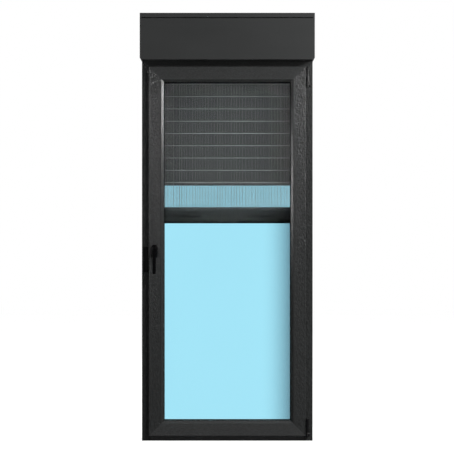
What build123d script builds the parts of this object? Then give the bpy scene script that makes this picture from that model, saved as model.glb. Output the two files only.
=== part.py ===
"""Tilt and turn balcony door with a roller shutter box on top, seen from the room at -Y.

Frame of the part: +X to the right as seen from the room, +Y to the outside, +Z up, millimetres.
The origin is the middle of the frame's underside, halfway through the frame's depth.
"""

from math import ceil

from build123d import *
import os

os.makedirs("parts", exist_ok=True)

# Outer frame
frame_width = 880.0
frame_height = 1963.0
frame_depth = 70.0
frame_face = 44.0
sill_face = 35.0
frame_lip = 20.0
lip_thickness = 18.0
edge_radius = 2.0

# Sash
sash_overlap = 8.0
rebate_gap = 12.0
sash_depth = 68.0
flange_gap = 5.0
sash_face = 60.0
lip_gap = 4.0
glazing_leg = 20.0
glazing_leg_thickness = 12.0
leg_slope = 3.0

# Glazing
bead_width = 17.0
bead_flat = 4.0
bead_drop = 13.0
pane_thickness = 4.0
pane_gap = 16.0
glass_edge_gap = 6.0
outer_gasket = 4.0
inner_gasket = 3.0
gasket_sight = 3.0
spacer_width = 9.0

# Seals
seal_width = 4.0
seal_clearance = 0.3
seal_inset = 2.0
frame_seal_inset = 1.0
seal_break = 16.0

# Locking fittings on the edges of the sash
faceplate_width = 16.0
faceplate_thickness = 2.5
faceplate_offset = 22.0
faceplate_end = 60.0
cam_radius = 5.0
cam_height = 9.0
cam_foot = 233.0
cam_head = 247.0
cam_to_keep = 42.0
keep_length = 54.0
keep_height = 8.0
keep_width = 20.0
keep_corner = 3.0
cam_play = 0.5

# Corner hinges
hinge_side_gap = 10.0
hinge_front = 1.0
tilt_axis_rise = 4.0
pin_radius = 4.0
pin_height = 62.0
running_clearance = 0.1
hinge_leaf = 3.0
leaf_near = 4.0
leaf_far = 10.0
leaf_height = 38.0
lug_thickness = 2.5
lug_gap = 3.4
lug_clearance = 0.5
web_half = 4.0
cross_pin_radius = 2.5
knob_radius = 7.5
knob_depth = 15.0
knob_shift = 4.0
knob_rise = 2.0
knob_edge = 3.0
pivot_half = 4.0
collar_rise = 8.0
collar_radius = 6.0
collar_height = 5.0
sleeve_radius = 8.0
sleeve_height = 71.0
sleeve_cap = 6.0
sleeve_edge = 1.0
band_plate = 2.5
band_front = 3.0
band_back = 6.0
barrel_radius = 5.0
bearing_length = 57.0
knuckle_length = 46.0
knuckle_gap = 1.0
bearing_drop = 104.0
foot_height = 10.0
foot_thickness = 6.0
foot_near = 5.0
foot_far = 14.0

# Stay arm over the top rail
stay_length = 400.0
arm_width = 16.0
arm_thickness = 3.5
arm_lift = 4.0
arm_crank = 154.0
link_below = 0.5
link_above = 3.0
shoe_length = 36.0
shoe_corner = 3.0
stay_stud_radius = 4.0

# Handle
handle_height = 975.0
handle_inset = 29.0
rosette_width = 33.0
rosette_height = 72.0
rosette_thickness = 11.0
lever_rise = 26.0
lever_drop = 114.0
lever_width = 18.0
lever_thickness = 12.0
lever_edge = 3.5
rosette_edge = 3.0
head_radius = 13.5
head_length = 46.0
neck_radius = 8.0
neck_length = 34.0

# Cover plate on the lock jamb
strike_width = 24.0
strike_height = 130.0
strike_thickness = 3.0
strike_bottom = 869.0
strike_inset = 9.0
strike_corner = 3.0

# Fixing holes through the jambs
fixing_radius = 5.25
fixing_foot = 150.0
fixing_head = 163.0
fixing_count = 4

# Roller shutter box
box_overhang = 9.0
box_height = 237.0
box_front = 57.0
box_depth = 240.0
box_wall = 8.0
cover_lip = 3.0
top_strip = 24.0
cover_joint = 3.0
end_chamfer = 10.0
cover_round = 3.0
slot_margin = 2.0

# Guides on the outside of the jambs
guide_width = 53.0
guide_depth = 60.0
guide_round = 2.0
channel_depth = 28.0
screen_channel = 10.0
shutter_channel = 14.0
screen_plane = 13.0
shutter_plane = 35.0

# Shutter curtain: each slat hooks into the groove of the one above it
slat_pitch = 64.0
slat_thickness = 9.0
slat_gap = 0.3
slat_reveal = 3.0
slat_shoulder = 2.5
slat_edge = 0.8
neck_half = 0.7
hook_half = 1.9
hook_height = 2.5
groove_wall = 2.0
groove_depth = 7.0
curtain_bottom = 1318.0
end_slat_height = 20.0
side_clearance = 3.0
axle_radius = 30.0
axle_rise = 132.0
axle_setback = 2.0

# Insect screen
mesh_thickness = 0.6
screen_bar_bottom = 1121.0
screen_bar_height = 84.0
screen_bar_thickness = 8.0
bar_web = 1.5
brush_height = 13.0
groove_low = 28.0
groove_high = 41.0
shoulder_low = 70.0
shoulder_high = 82.0
groove_inset = 4.0
grip_width = 98.0
grip_proud = 2.0
grip_corner = 3.0
grip_clearance = 0.2
grip_spacing = 377.0
mesh_hem = 15.0
screen_roller_radius = 16.0
roller_gap = 2.0

# Water slots in the outside of the sill
drain_width = 30.0
drain_height = 5.0
drain_depth = 6.0
drain_spacing = 260.0
drain_rise = 22.0

# Two places closer than this are the same place
touch = 0.01

# Places that follow from the sizes above
room_face = -frame_depth / 2
outside_face = frame_depth / 2
lip_inside = outside_face - lip_thickness
sash_outside = lip_inside - lip_gap
sash_room = sash_outside - sash_depth
flange_back = room_face - flange_gap
sash_left = -frame_width / 2 + frame_face - sash_overlap
sash_width = -2 * sash_left
sash_bottom = sill_face - sash_overlap
sash_top = frame_height - frame_face + sash_overlap
sash_height = sash_top - sash_bottom
flange_reach = rebate_gap + sash_overlap
glass_outside = sash_outside - glazing_leg_thickness - outer_gasket
glass_room = glass_outside - 2 * pane_thickness - pane_gap
glass_inset = sash_face + glass_edge_gap
bead_back = glass_room - inner_gasket
faceplate_y = flange_back + faceplate_offset
hinge_x = -sash_left + hinge_side_gap
hinge_y = sash_room - hinge_front
handle_x = sash_left + handle_inset
tilt_axis_height = sash_bottom + tilt_axis_rise
cam_heights = (sash_bottom + cam_foot, handle_height, sash_top - cam_head)
fixing_pitch = (frame_height - fixing_head - fixing_foot) / (fixing_count - 1)
fixing_heights = [fixing_foot + index * fixing_pitch for index in range(fixing_count)]
stay_x = hinge_x - stay_length
sash_edge_top = sash_top - flange_reach
bearing_bottom = sash_top - bearing_drop
cheek_radius = collar_rise - lug_clearance
box_front_y = room_face - box_front
box_back_y = box_front_y + box_depth
box_top_z = frame_height + box_height
box_half = frame_width / 2 + box_overhang
curtain_y = outside_face + shutter_plane
axle_z = frame_height + axle_rise
screen_y = outside_face + screen_plane
guide_inner = frame_width / 2 - guide_width
slat_count = ceil((axle_z - curtain_bottom - end_slat_height) / slat_pitch)


def sides(left, bottom, width, height):
    """Planes and lengths of a rectangle's four sides, local x pointing into the rectangle."""
    right = left + width
    top = bottom + height
    return {
        "left": (Plane(origin=(left, 0, bottom), x_dir=(1, 0, 0), z_dir=(0, 0, 1)), height),
        "right": (Plane(origin=(right, 0, top), x_dir=(-1, 0, 0), z_dir=(0, 0, -1)), height),
        "top": (Plane(origin=(left, 0, top), x_dir=(0, 0, -1), z_dir=(1, 0, 0)), width),
        "bottom": (Plane(origin=(right, 0, bottom), x_dir=(0, 0, 1), z_dir=(-1, 0, 0)), width),
    }


def save(solid, name):
    """Label a finished piece and write it."""
    solid.label = name
    export_step(solid, f"parts/{name}.step")


def member(outline, side, rounded=(), start_mitre=True, end_mitre=True, radius=edge_radius):
    """A straight bar of one outline along a side, cut at 45 degrees where it meets the next."""
    plane, length = side
    with BuildPart() as bar:
        with BuildSketch(plane) as section:
            with BuildLine():
                Polyline(*outline, close=True)
            make_face()
            if rounded:
                corners = [v for v in section.sketch_local.vertices() if near(v, rounded)]
                fillet(corners, radius)
        extrude(amount=length)
        if start_mitre:
            split(bisect_by=Plane(origin=plane.origin, z_dir=plane.z_dir - plane.x_dir))
        if end_mitre:
            far = plane.origin + plane.z_dir * length
            split(bisect_by=Plane(origin=far, z_dir=-plane.z_dir - plane.x_dir))
    return bar.part


def near(vertex, points):
    """True where a sketch corner is one of the given points."""
    return any(abs(vertex.X - x) < touch and abs(vertex.Y - y) < touch for x, y in points)


def block(x, y, z):
    """A plain block between two limits along each axis."""
    with BuildPart() as body:
        with BuildSketch(Plane.XY.offset(z[0])):
            with Locations(((x[0] + x[1]) / 2, (y[0] + y[1]) / 2)):
                Rectangle(x[1] - x[0], y[1] - y[0])
        extrude(amount=z[1] - z[0])
    return body.part


# Outer frame: a stepped profile with a lip on the outside, mitred at the head
frame_profile = (
    (0, room_face),
    (frame_face, room_face),
    (frame_face, lip_inside),
    (frame_face + frame_lip, lip_inside),
    (frame_face + frame_lip, outside_face),
    (0, outside_face),
)
frame_rounds = (
    (frame_face, room_face),
    (frame_face + frame_lip, outside_face),
)
frame_sides = sides(-frame_width / 2, 0, frame_width, frame_height)


def frame_jamb(name):
    """A jamb with its mitred head end, square foot and four fixing holes."""
    left = name == "left"
    body = member(
        frame_profile, frame_sides[name], frame_rounds, start_mitre=not left, end_mitre=left
    )
    with BuildPart() as jamb:
        add(body)
        outer_x = frame_sides[name][0].origin.X
        with BuildSketch(Plane(origin=(outer_x, 0, 0), x_dir=(0, 1, 0), z_dir=(1, 0, 0))):
            with Locations(*[(0, z) for z in fixing_heights]):
                Circle(fixing_radius)
        extrude(amount=frame_face, both=True, mode=Mode.SUBTRACT)
    return jamb.part


def frame_sill():
    """The low sill between the jambs, notched round their outside lips, with three water slots."""
    outline = (
        (0, room_face),
        (sill_face, room_face),
        (sill_face, lip_inside),
        (sill_face + frame_lip, lip_inside),
        (sill_face + frame_lip, outside_face),
        (0, outside_face),
    )
    rounds = ((sill_face, room_face), (sill_face + frame_lip, outside_face))
    inner = frame_width - 2 * frame_face
    side = sides(-inner / 2, 0, inner, frame_height)["bottom"]
    body = member(outline, side, rounds, start_mitre=False, end_mitre=False)
    with BuildPart() as sill:
        add(body)
        with BuildSketch(Plane.XY):
            for x in (-inner / 2, inner / 2):
                with Locations((x, (lip_inside + outside_face) / 2)):
                    Rectangle(2 * frame_lip, lip_thickness)
        extrude(amount=frame_height, mode=Mode.SUBTRACT)
        with BuildSketch(Plane.XZ.offset(-outside_face)):
            with Locations((0, drain_rise)):
                with GridLocations(drain_spacing, 1, 3, 1):
                    SlotOverall(drain_width, drain_height)
        extrude(amount=drain_depth, mode=Mode.SUBTRACT)
    return sill.part


def seal_ring(half_x, low, high, width, y0, y1, gap=None):
    """A seal strip round a rectangle; a gap leaves its right side short of the top."""
    with BuildPart() as ring:
        with BuildSketch(Plane.XZ.offset(-y0)):
            with Locations((0, (low + high) / 2)):
                Rectangle(2 * half_x, high - low)
                Rectangle(2 * (half_x - width), high - low - 2 * width, mode=Mode.SUBTRACT)
            if gap:
                with Locations((half_x - width / 2, high - width - gap / 2)):
                    Rectangle(2 * width, gap, mode=Mode.SUBTRACT)
        extrude(amount=-(y1 - y0))
    return ring.part


def strike_plate():
    """The flat cover plate on the room face of the lock jamb."""
    x0 = -frame_width / 2 + strike_inset
    with BuildPart() as plate:
        with BuildSketch(Plane.XZ.offset(-room_face)):
            with Locations((x0 + strike_width / 2, strike_bottom + strike_height / 2)):
                RectangleRounded(strike_width, strike_height, strike_corner)
        extrude(amount=strike_thickness)
    return plate.part


def lock_keeps():
    """Keeps on the rebate of the lock jamb, one above each cam."""
    floor = -frame_width / 2 + frame_face
    with BuildPart() as keeps:
        for height in cam_heights:
            middle = height + cam_to_keep
            with BuildSketch(Plane(origin=(floor, faceplate_y, middle), x_dir=(0, 1, 0), z_dir=(1, 0, 0))):
                RectangleRounded(keep_width, keep_length, keep_corner)
                with Locations((0, -keep_length / 4)):
                    Rectangle(2 * (cam_radius + cam_play), keep_length / 2, mode=Mode.SUBTRACT)
            extrude(amount=keep_height)
    return keeps.part


save(member(frame_profile, frame_sides["top"], frame_rounds), "frame_head")
save(frame_jamb("left"), "frame_jamb_left")
save(frame_jamb("right"), "frame_jamb_right")
save(frame_sill(), "frame_sill")
save(
    seal_ring(
        frame_width / 2 - frame_face - rebate_gap - frame_seal_inset,
        sill_face + rebate_gap + frame_seal_inset,
        frame_height - frame_face - rebate_gap - frame_seal_inset,
        seal_width,
        sash_outside + seal_clearance,
        lip_inside,
    ),
    "frame_seal",
)
save(strike_plate(), "strike_plate")
save(lock_keeps(), "lock_keeps")

# Sash: a Z-shaped profile, its flange lapping the frame on the room side
sash_profile = (
    (0, sash_room),
    (sash_face, sash_room),
    (sash_face, sash_outside - glazing_leg_thickness),
    (sash_face + glazing_leg, sash_outside - glazing_leg_thickness),
    (sash_face + glazing_leg, sash_outside - leg_slope),
    (sash_face, sash_outside),
    (flange_reach, sash_outside),
    (flange_reach, faceplate_y + faceplate_width / 2),
    (flange_reach + faceplate_thickness, faceplate_y + faceplate_width / 2),
    (flange_reach + faceplate_thickness, faceplate_y - faceplate_width / 2),
    (flange_reach, faceplate_y - faceplate_width / 2),
    (flange_reach, flange_back),
    (0, flange_back),
)
sash_rounds = ((0, sash_room), (sash_face + glazing_leg, sash_outside - leg_slope))
sash_sides = sides(sash_left, sash_bottom, sash_width, sash_height)
for name, side in (
    ("sash_top_rail", "top"),
    ("sash_bottom_rail", "bottom"),
    ("sash_stile_left", "left"),
    ("sash_stile_right", "right"),
):
    save(member(sash_profile, sash_sides[side], sash_rounds), name)

# Glazing beads on the room side, with a falling face
bead_profile = (
    (sash_face, sash_room),
    (sash_face + bead_flat, sash_room),
    (sash_face + bead_width, sash_room + bead_drop),
    (sash_face + bead_width, bead_back),
    (sash_face, bead_back),
)
bead_rounds = ((sash_face + bead_flat, sash_room), (sash_face + bead_width, sash_room + bead_drop))
for side in ("top", "bottom", "left", "right"):
    save(member(bead_profile, sash_sides[side], bead_rounds), f"bead_{side}")


def pane(y0):
    """One glass pane."""
    with BuildPart() as sheet:
        with BuildSketch(Plane.XZ.offset(-y0)):
            with Locations((0, sash_bottom + sash_height / 2)):
                Rectangle(sash_width - 2 * glass_inset, sash_height - 2 * glass_inset)
        extrude(amount=-pane_thickness)
    return sheet.part


glass_half = sash_width / 2 - glass_inset
glass_low = sash_bottom + glass_inset
glass_high = sash_top - glass_inset
gasket_inner = sash_face + bead_width + gasket_sight
gasket_band = gasket_inner - glass_inset
save(pane(glass_outside - pane_thickness), "glass_outer")
save(pane(glass_room), "glass_inner")
save(
    seal_ring(
        glass_half,
        glass_low,
        glass_high,
        spacer_width,
        glass_room + pane_thickness,
        glass_outside - pane_thickness,
    ),
    "glass_spacer",
)
save(
    seal_ring(glass_half, glass_low, glass_high, gasket_band, bead_back, glass_room),
    "gasket_room",
)
save(
    seal_ring(
        glass_half,
        glass_low,
        glass_high,
        gasket_band,
        glass_outside,
        glass_outside + outer_gasket,
    ),
    "gasket_outside",
)
save(
    seal_ring(
        sash_width / 2 - seal_inset,
        sash_bottom + seal_inset,
        sash_top - seal_inset,
        seal_width,
        flange_back,
        room_face - seal_clearance,
        gap=seal_break,
    ),
    "sash_seal",
)


def espagnolette():
    """Faceplates in the edges of the lock stile and the top rail, with three cams."""
    edge = sash_left + flange_reach
    depth = (faceplate_y - faceplate_width / 2, faceplate_y + faceplate_width / 2)
    with BuildPart() as lock:
        add(
            block(
                (edge, edge + faceplate_thickness),
                depth,
                (sash_bottom + faceplate_end, sash_top - faceplate_end),
            )
        )
        for height in cam_heights:
            with BuildSketch(Plane(origin=(edge, faceplate_y, height), z_dir=(-1, 0, 0))):
                Circle(cam_radius)
            extrude(amount=cam_height)
        add(
            block(
                (sash_left + faceplate_end, -sash_left - faceplate_end),
                depth,
                (sash_edge_top - faceplate_thickness, sash_edge_top),
            )
        )
    return lock.part


save(espagnolette(), "espagnolette")


def stay_bearing():
    """Upper hinge half on the jamb: a leaf with its foot, a web and the fixed barrel."""
    with BuildPart() as bearing:
        add(
            block(
                (hinge_x - leaf_near, hinge_x + leaf_far),
                (room_face - hinge_leaf, room_face),
                (bearing_bottom, bearing_bottom + bearing_length),
            )
        )
        add(
            block(
                (hinge_x - foot_near, hinge_x + foot_far),
                (room_face - foot_thickness, room_face),
                (bearing_bottom, bearing_bottom + foot_height),
            )
        )
        add(
            block(
                (hinge_x - hinge_leaf / 2, hinge_x + hinge_leaf / 2),
                (hinge_y, room_face),
                (bearing_bottom, bearing_bottom + bearing_length),
            )
        )
        with BuildSketch(Plane.XY.offset(bearing_bottom)):
            with Locations((hinge_x, hinge_y)):
                Circle(barrel_radius)
        extrude(amount=bearing_length)
    return bearing.part


def stay_arm():
    """The cranked stay: a flat bar in the rebate, a link past the flange and its knuckle."""
    low = sash_edge_top + arm_lift
    gap_middle = (flange_back + room_face) / 2
    near_end = stay_x - arm_width / 2
    far_end = hinge_x - arm_crank + arm_width / 2
    link_z = (low - link_below, low + arm_thickness + link_above)
    gap_y = (gap_middle - hinge_leaf / 2, gap_middle + hinge_leaf / 2)
    with BuildPart() as arm:
        with BuildSketch(Plane.XY.offset(low)):
            with Locations(((near_end + far_end) / 2, faceplate_y)):
                SlotOverall(far_end - near_end, arm_width)
            with Locations((far_end - arm_width / 2, (faceplate_y + gap_y[0]) / 2)):
                Rectangle(arm_width, faceplate_y - gap_y[0])
            with Locations((stay_x, faceplate_y)):
                Circle(stay_stud_radius + running_clearance, mode=Mode.SUBTRACT)
        extrude(amount=arm_thickness)
        add(block((far_end - arm_width / 2, hinge_x - hinge_leaf / 2), gap_y, link_z))
        web_x = hinge_x - hinge_leaf / 2
        add(block((web_x - hinge_leaf, web_x), (hinge_y, gap_y[1]), link_z))
        with BuildSketch(Plane.XY.offset(bearing_bottom + bearing_length + knuckle_gap)):
            with Locations((hinge_x, hinge_y)):
                Circle(barrel_radius)
        extrude(amount=knuckle_length)
    return arm.part


def stay_shoe():
    """The slider on the top faceplate with the stud that carries the stay arm."""
    with BuildPart() as shoe:
        with BuildSketch(Plane.XY.offset(sash_edge_top + seal_clearance)):
            with Locations((stay_x, faceplate_y)):
                RectangleRounded(shoe_length, faceplate_width, shoe_corner)
        extrude(amount=arm_lift - 2 * seal_clearance)
        with BuildSketch(Plane.XY.offset(sash_edge_top + arm_lift - seal_clearance)):
            with Locations((stay_x, faceplate_y)):
                Circle(stay_stud_radius)
        extrude(amount=arm_thickness + 2 * seal_clearance)
    return shoe.part


def corner_bearing():
    """Lower hinge half on the jamb: a leaf, a round knob and two cheeks that carry the cross pin."""
    low = tilt_axis_height - cheek_radius
    middles = lug_gap / 2 + lug_thickness / 2
    with BuildPart() as bearing:
        add(
            block(
                (hinge_x - leaf_near, hinge_x + leaf_far),
                (room_face - hinge_leaf, room_face),
                (low, low + leaf_height),
            )
        )
        with BuildSketch(Plane.XZ.offset(-room_face)):
            with Locations((hinge_x + knob_shift, tilt_axis_height + knob_rise)):
                Circle(knob_radius)
        extrude(amount=knob_depth)
        chamfer(bearing.faces().sort_by(Axis.Y)[0].edges(), knob_edge)
        for x in (hinge_x - middles, hinge_x + middles):
            corner = (x - lug_thickness / 2, hinge_y, tilt_axis_height)
            with BuildSketch(Plane(origin=corner, x_dir=(0, 1, 0), z_dir=(1, 0, 0))):
                Circle(cheek_radius)
                with Locations(((room_face - hinge_y) / 2, 0)):
                    Rectangle(room_face - hinge_y, 2 * web_half)
            extrude(amount=lug_thickness)
        with BuildSketch(Plane(origin=(hinge_x, hinge_y, tilt_axis_height), z_dir=(1, 0, 0))):
            Circle(cross_pin_radius + running_clearance)
        extrude(amount=2 * middles, both=True, mode=Mode.SUBTRACT)
        with BuildSketch(Plane.XY.offset(low)):
            with Locations((hinge_x, hinge_y)):
                Rectangle(lug_gap, 2 * (cheek_radius + lug_clearance))
        extrude(amount=2 * knob_radius, mode=Mode.SUBTRACT)
    return bearing.part


def corner_pivot():
    """The pivot: a cross pin in the cheeks and the upright pin that the sash turns on."""
    block_half = lug_gap / 2 - seal_clearance / 2
    collar_low = tilt_axis_height + collar_rise
    with BuildPart() as pivot:
        with BuildSketch(Plane(origin=(hinge_x, hinge_y, tilt_axis_height), z_dir=(1, 0, 0))):
            Circle(cross_pin_radius)
        extrude(amount=lug_gap / 2 + lug_thickness, both=True)
        add(
            block(
                (hinge_x - block_half, hinge_x + block_half),
                (hinge_y - pivot_half, hinge_y + pivot_half),
                (tilt_axis_height - pivot_half, collar_low + collar_height / 2),
            )
        )
        with BuildSketch(Plane.XY.offset(collar_low)):
            with Locations((hinge_x, hinge_y)):
                Circle(collar_radius)
        extrude(amount=collar_height)
        with BuildSketch(Plane.XY.offset(collar_low + collar_height)):
            with Locations((hinge_x, hinge_y)):
                Circle(pin_radius)
        extrude(amount=pin_height)
    return pivot.part


def sash_band():
    """The sash's lower hinge half: a plate on its edge and the sleeve round the pin."""
    low = tilt_axis_height + collar_rise + collar_height + seal_clearance
    high = low + sleeve_height
    edge = -sash_left
    with BuildPart() as band:
        with BuildSketch(Plane.XY.offset(low)):
            with Locations((hinge_x, hinge_y)):
                Circle(sleeve_radius)
        extrude(amount=sleeve_height)
        chamfer(band.faces().sort_by(Axis.Z)[-1].edges(), sleeve_edge)
        add(block((edge, edge + band_plate), (sash_room, flange_back - seal_clearance), (low, high)))
        add(
            block(
                (edge + band_plate / 2, hinge_x),
                (hinge_y - band_front, hinge_y + band_back),
                (low, high - sleeve_edge),
            )
        )
        with BuildSketch(Plane.XY.offset(low)):
            with Locations((hinge_x, hinge_y)):
                Circle(pin_radius + running_clearance)
        extrude(amount=sleeve_height - sleeve_cap, mode=Mode.SUBTRACT)
    return band.part


save(stay_bearing(), "stay_bearing")
save(stay_arm(), "stay_arm")
save(stay_shoe(), "stay_shoe")
save(corner_bearing(), "corner_bearing")
save(corner_pivot(), "corner_pivot")
save(sash_band(), "sash_band")


def handle_rosette():
    """The oval backplate under the handle, its front edge bevelled."""
    with BuildPart() as rosette:
        with BuildSketch(Plane.XZ.offset(-sash_room)):
            with Locations((handle_x, handle_height)):
                SlotOverall(rosette_height, rosette_width, rotation=90)
        extrude(amount=rosette_thickness)
        chamfer(rosette.faces().sort_by(Axis.Y)[0].edges(), rosette_edge)
    return rosette.part


def handle_lever():
    """The lever: a round neck, an egg-shaped head over the axis and a grip that hangs down."""
    start = sash_room - rosette_thickness - seal_clearance
    front = start - neck_length
    head_z = handle_height + lever_rise - head_length / 2
    grip_low = handle_height - lever_drop
    with BuildPart() as lever:
        with BuildSketch(Plane.XZ.offset(-front - lever_thickness)):
            with Locations((handle_x, head_z)):
                Ellipse(head_radius, head_length / 2)
            with Locations((handle_x, (head_z + grip_low) / 2)):
                SlotOverall(head_z - grip_low, lever_width, rotation=90)
        extrude(amount=lever_thickness)
        chamfer(lever.faces().sort_by(Axis.Y)[0].edges(), lever_edge)
        with BuildSketch(Plane.XZ.offset(-start)):
            with Locations((handle_x, handle_height)):
                Circle(neck_radius)
        extrude(amount=neck_length - lever_thickness / 2)
    return lever.part


save(handle_rosette(), "handle_rosette")
save(handle_lever(), "handle_lever")


# Roller shutter box: panels between two end caps
def box_cover():
    """The removable cover on the room side, its lower edge hanging in front of the head."""
    top = box_top_z - top_strip - cover_joint
    with BuildPart() as cover:
        add(
            block(
                (-frame_width / 2, frame_width / 2),
                (box_front_y, box_front_y + box_wall),
                (frame_height - cover_lip, top),
            )
        )
        front = cover.faces().sort_by(Axis.Y)[0]
        fillet(front.edges().filter_by(Axis.X), cover_round)
    return cover.part


def box_top():
    """The top panel with its turned-down front strip."""
    with BuildPart() as panel:
        add(
            block(
                (-frame_width / 2, frame_width / 2),
                (box_front_y, box_back_y - box_wall),
                (box_top_z - box_wall, box_top_z),
            )
        )
        add(
            block(
                (-frame_width / 2, frame_width / 2),
                (box_front_y, box_front_y + box_wall),
                (box_top_z - top_strip, box_top_z),
            )
        )
        front = panel.faces().sort_by(Axis.Y)[0]
        fillet(front.edges().filter_by(Axis.X), cover_round)
    return panel.part


def box_bottom():
    """The bottom panel on the head, slotted for the screen and the curtain."""
    with BuildPart() as panel:
        add(
            block(
                (-frame_width / 2, frame_width / 2),
                (box_front_y + box_wall, box_back_y - box_wall),
                (frame_height, frame_height + box_wall),
            )
        )
        with BuildSketch(Plane.XY.offset(frame_height)):
            with Locations((0, screen_y)):
                Rectangle(frame_width - 2 * box_wall, screen_channel)
            with Locations((0, curtain_y)):
                Rectangle(frame_width - 2 * box_wall, shutter_channel + 2 * slot_margin)
        extrude(amount=box_wall, mode=Mode.SUBTRACT)
    return panel.part


def on_box_front(edge):
    """True for the front edges of an end cap that stand free of the cover."""
    middle = edge.center()
    return abs(middle.Y - box_front_y) < touch and abs(middle.X) > frame_width / 2 + touch


def box_end(sign):
    """An end cap with its chamfered foot, stepped up where it passes over the jamb."""
    with BuildPart() as cap:
        with BuildSketch(Plane.XZ.offset(-box_front_y)):
            with BuildLine():
                Polyline(
                    (sign * frame_width / 2, frame_height - cover_lip),
                    (sign * box_half, frame_height - cover_lip + end_chamfer),
                    (sign * box_half, box_top_z),
                    (sign * frame_width / 2, box_top_z),
                    close=True,
                )
            make_face()
        extrude(amount=-box_depth)
        fillet([e for e in cap.edges() if on_box_front(e)], cover_round)
        with BuildSketch(Plane.XY.offset(frame_height - cover_lip)):
            with Locations((sign * box_half, (room_face + box_back_y) / 2)):
                Rectangle(4 * box_overhang, box_back_y - room_face)
        extrude(amount=cover_lip, mode=Mode.SUBTRACT)
    return cap.part


save(box_cover(), "box_cover")
save(box_top(), "box_top")
save(
    block(
        (-frame_width / 2, frame_width / 2),
        (box_back_y - box_wall, box_back_y),
        (frame_height, box_top_z),
    ),
    "box_back",
)
save(box_bottom(), "box_bottom")
save(box_end(-1), "box_end_left")
save(box_end(1), "box_end_right")


def shutter_axle():
    """The octagonal winding tube between the end caps."""
    plane = Plane(origin=(-frame_width / 2, axle_setback, axle_z), z_dir=(1, 0, 0))
    with BuildPart() as axle:
        with BuildSketch(plane):
            RegularPolygon(axle_radius, 8)
        extrude(amount=frame_width)
    return axle.part


def shutter_roll():
    """The rolled-up part of the curtain round the winding tube."""
    reach = frame_width / 2 - 2 * box_wall
    outer = curtain_y - slat_thickness / 2 - axle_setback
    plane = Plane(origin=(-reach, axle_setback, axle_z), z_dir=(1, 0, 0))
    with BuildPart() as roll:
        with BuildSketch(plane):
            Circle(outer - seal_clearance)
            RegularPolygon(axle_radius, 8, mode=Mode.SUBTRACT)
        extrude(amount=2 * reach)
    return roll.part


def slat(bottom, height, grooved=True):
    """One slat: a body with bevelled shoulders, a hook on top and a groove for the hook below."""
    reach = frame_width / 2 - guide_width + channel_depth - side_clearance
    plane = Plane(origin=(-reach, curtain_y, bottom), z_dir=(1, 0, 0), x_dir=(0, 1, 0))
    half = slat_thickness / 2
    body_top = height - slat_reveal
    hook_low = height + groove_wall + slat_gap
    hook_top = hook_low + hook_height
    flank = (
        (half - slat_edge, 0),
        (half, slat_edge),
        (half, body_top - slat_shoulder),
        (half - slat_shoulder, body_top),
        (neck_half, body_top),
        (neck_half, hook_low),
        (hook_half, hook_low),
        (hook_half, hook_top - slat_edge),
        (hook_half - slat_edge, hook_top),
    )
    with BuildPart() as bar:
        with BuildSketch(plane):
            with BuildLine():
                Polyline(*flank, *[(-x, y) for x, y in reversed(flank)], close=True)
            make_face()
            if grooved:
                with Locations((0, groove_wall / 2)):
                    Rectangle(2 * (neck_half + slat_gap), groove_wall, mode=Mode.SUBTRACT)
                with Locations((0, (groove_wall + groove_depth) / 2)):
                    wide = 2 * (hook_half + slat_gap)
                    Rectangle(wide, groove_depth - groove_wall, mode=Mode.SUBTRACT)
        extrude(amount=2 * reach)
    return bar.part


def shutter_curtain():
    """The hanging slats, from the end slat up into the box."""
    with BuildPart() as curtain:
        for index in range(slat_count):
            add(slat(curtain_bottom + end_slat_height + index * slat_pitch, slat_pitch))
    return curtain.part


def guide(sign):
    """A guide on the outside of a jamb with one channel for the screen and one for the curtain."""
    outer = sign * frame_width / 2
    inner = sign * guide_inner
    channel_x = inner + sign * channel_depth / 2
    back = outside_face + guide_depth
    with BuildPart() as rail:
        with BuildSketch(Plane.XY) as section:
            with Locations(((outer + inner) / 2, outside_face + guide_depth / 2)):
                Rectangle(guide_width, guide_depth)
            fillet([v for v in section.vertices() if near(v, ((inner, back), (outer, back)))], guide_round)
            with Locations((channel_x, screen_y)):
                Rectangle(channel_depth, screen_channel, mode=Mode.SUBTRACT)
            with Locations((channel_x, curtain_y)):
                Rectangle(channel_depth, shutter_channel, mode=Mode.SUBTRACT)
        extrude(amount=frame_height)
    return rail.part


def screen_bar():
    """The bottom bar of the insect screen: a bead on top, a groove for the grips and a brush foot."""
    reach = frame_width / 2 - guide_width + channel_depth - side_clearance
    plane = Plane(origin=(-reach, screen_y, screen_bar_bottom), z_dir=(1, 0, 0), x_dir=(0, 1, 0))
    half = screen_bar_thickness / 2
    face = bar_web - half
    with BuildPart() as bar:
        with BuildSketch(plane):
            with BuildLine():
                Polyline(
                    (bar_web, 0),
                    (bar_web, brush_height),
                    (half, brush_height),
                    (half, screen_bar_height),
                    (face, screen_bar_height),
                    (face, shoulder_high),
                    (-half, shoulder_high),
                    (-half, shoulder_low),
                    (face, shoulder_low),
                    (face, groove_high),
                    (face + groove_inset, groove_high),
                    (face + groove_inset, groove_low),
                    (face, groove_low),
                    (face, brush_height),
                    (-bar_web, brush_height),
                    (-bar_web, 0),
                    close=True,
                )
            make_face()
        extrude(amount=2 * reach)
    return bar.part


def screen_grips():
    """Two finger grips seated in the groove of the screen's bottom bar."""
    middle = screen_bar_bottom + (groove_low + groove_high) / 2
    height = groove_high - groove_low - 2 * grip_clearance
    floor = screen_y - screen_bar_thickness / 2 + bar_web + groove_inset
    with BuildPart() as grips:
        with BuildSketch(Plane.XZ.offset(-floor)):
            with Locations((0, middle)):
                with GridLocations(grip_spacing, 1, 2, 1):
                    RectangleRounded(grip_width, height, grip_corner)
        extrude(amount=groove_inset + grip_proud)
    return grips.part


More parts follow.
